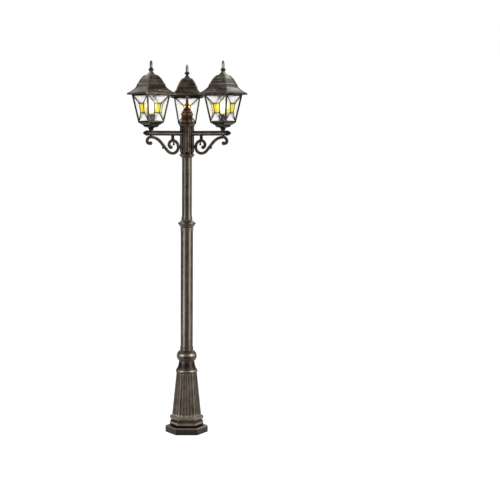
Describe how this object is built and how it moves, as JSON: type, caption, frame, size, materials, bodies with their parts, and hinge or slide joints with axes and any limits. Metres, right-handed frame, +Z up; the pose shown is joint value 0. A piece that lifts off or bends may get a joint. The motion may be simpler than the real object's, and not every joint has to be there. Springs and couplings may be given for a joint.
{
  "type": "outdoor lamp post",
  "caption": "Traditional garden lamp post: fluted cast pedestal, round post and hub with scroll-braced arms that carry square leaded-glass lanterns with lift-off roofs.",
  "frame": {"origin": "on the ground, on the axis of the post", "axes": "+Z up along the post; the rear arm points along +Y, and the front of the post looks along -Y"},
  "size_m": [0.6768, 0.586, 2.1143],
  "materials": {
    "bronze_casting": "satin",
    "bronze_tube": "satin",
    "copper_casting": "satin",
    "zinc_steel": "satin",
    "brass": "satin",
    "rubber": "matte",
    "cable_sheath": "matte",
    "block_plastic": "matte",
    "clear_glass": "gloss",
    "amber_glass": "gloss",
    "lead": "matte",
    "holder": "matte",
    "cap_metal": "satin",
    "bulb_glass": "gloss"
  },
  "bodies": {
    "post": {"base_pedestal": "bronze_casting", "ground_plate": "zinc_steel", "base_screws": "zinc_steel", "cable_grommet": "rubber", "lower_post": "bronze_tube", "post_coupling": "bronze_casting", "upper_post": "bronze_tube", "arm_hub": "bronze_casting", "arm_locknuts": "zinc_steel", "hub_finial": "copper_casting", "set_screws": "zinc_steel", "terminal_block": "block_plastic", "mains_cable": "cable_sheath", "stem_nuts": "zinc_steel", "cage_screws": "zinc_steel", "arm_left": "bronze_casting", "scroll_left": "bronze_casting", "lamp_lead_left": "cable_sheath", "lantern_base_left": "bronze_casting", "stem_pipe_left": "zinc_steel", "cage_left": "bronze_casting", "clear_glass_left": "clear_glass", "amber_glass_left": "amber_glass", "lead_strips_left": "lead", "lampholder_left": "holder", "arm_right": "bronze_casting", "scroll_right": "bronze_casting", "lamp_lead_right": "cable_sheath", "lantern_base_right": "bronze_casting", "stem_pipe_right": "zinc_steel", "cage_right": "bronze_casting", "clear_glass_right": "clear_glass", "amber_glass_right": "amber_glass", "lead_strips_right": "lead", "lampholder_right": "holder", "arm_rear": "bronze_casting", "scroll_rear": "bronze_casting", "lamp_lead_rear": "cable_sheath", "lantern_base_rear": "bronze_casting", "stem_pipe_rear": "zinc_steel", "cage_rear": "bronze_casting", "clear_glass_rear": "clear_glass", "amber_glass_rear": "amber_glass", "lead_strips_rear": "lead", "lampholder_rear": "holder"},
    "roof_left": {"roof_left": "bronze_casting", "roof_finial_left": "bronze_casting", "roof_nuts_left": "brass"},
    "bulb_left": {"bulb_cap_left": "cap_metal", "bulb_glass_left": "bulb_glass"},
    "roof_right": {"roof_right": "bronze_casting", "roof_finial_right": "bronze_casting", "roof_nuts_right": "brass"},
    "bulb_right": {"bulb_cap_right": "cap_metal", "bulb_glass_right": "bulb_glass"},
    "roof_rear": {"roof_rear": "bronze_casting", "roof_finial_rear": "bronze_casting", "roof_nuts_rear": "brass"},
    "bulb_rear": {"bulb_cap_rear": "cap_metal", "bulb_glass_rear": "bulb_glass"}
  },
  "joints": [
    {"name": "roof_lift_left", "type": "slide", "parent": "post", "child": "roof_left", "axis": [0, 0, 1], "range_m": [0, 0.12]},
    {"name": "bulb_turn_left", "type": "hinge", "parent": "post", "child": "bulb_left", "pos_m": [-0.20092, -0.116, 1.8], "axis": [0, 0, 1], "continuous": true},
    {"name": "roof_lift_right", "type": "slide", "parent": "post", "child": "roof_right", "axis": [0, 0, 1], "range_m": [0, 0.12]},
    {"name": "bulb_turn_right", "type": "hinge", "parent": "post", "child": "bulb_right", "pos_m": [0.20092, -0.116, 1.8], "axis": [0, 0, 1], "continuous": true},
    {"name": "roof_lift_rear", "type": "slide", "parent": "post", "child": "roof_rear", "axis": [0, 0, 1], "range_m": [0, 0.12]},
    {"name": "bulb_turn_rear", "type": "hinge", "parent": "post", "child": "bulb_rear", "pos_m": [0, 0.232, 1.8], "axis": [0, 0, 1], "continuous": true}
  ]
}
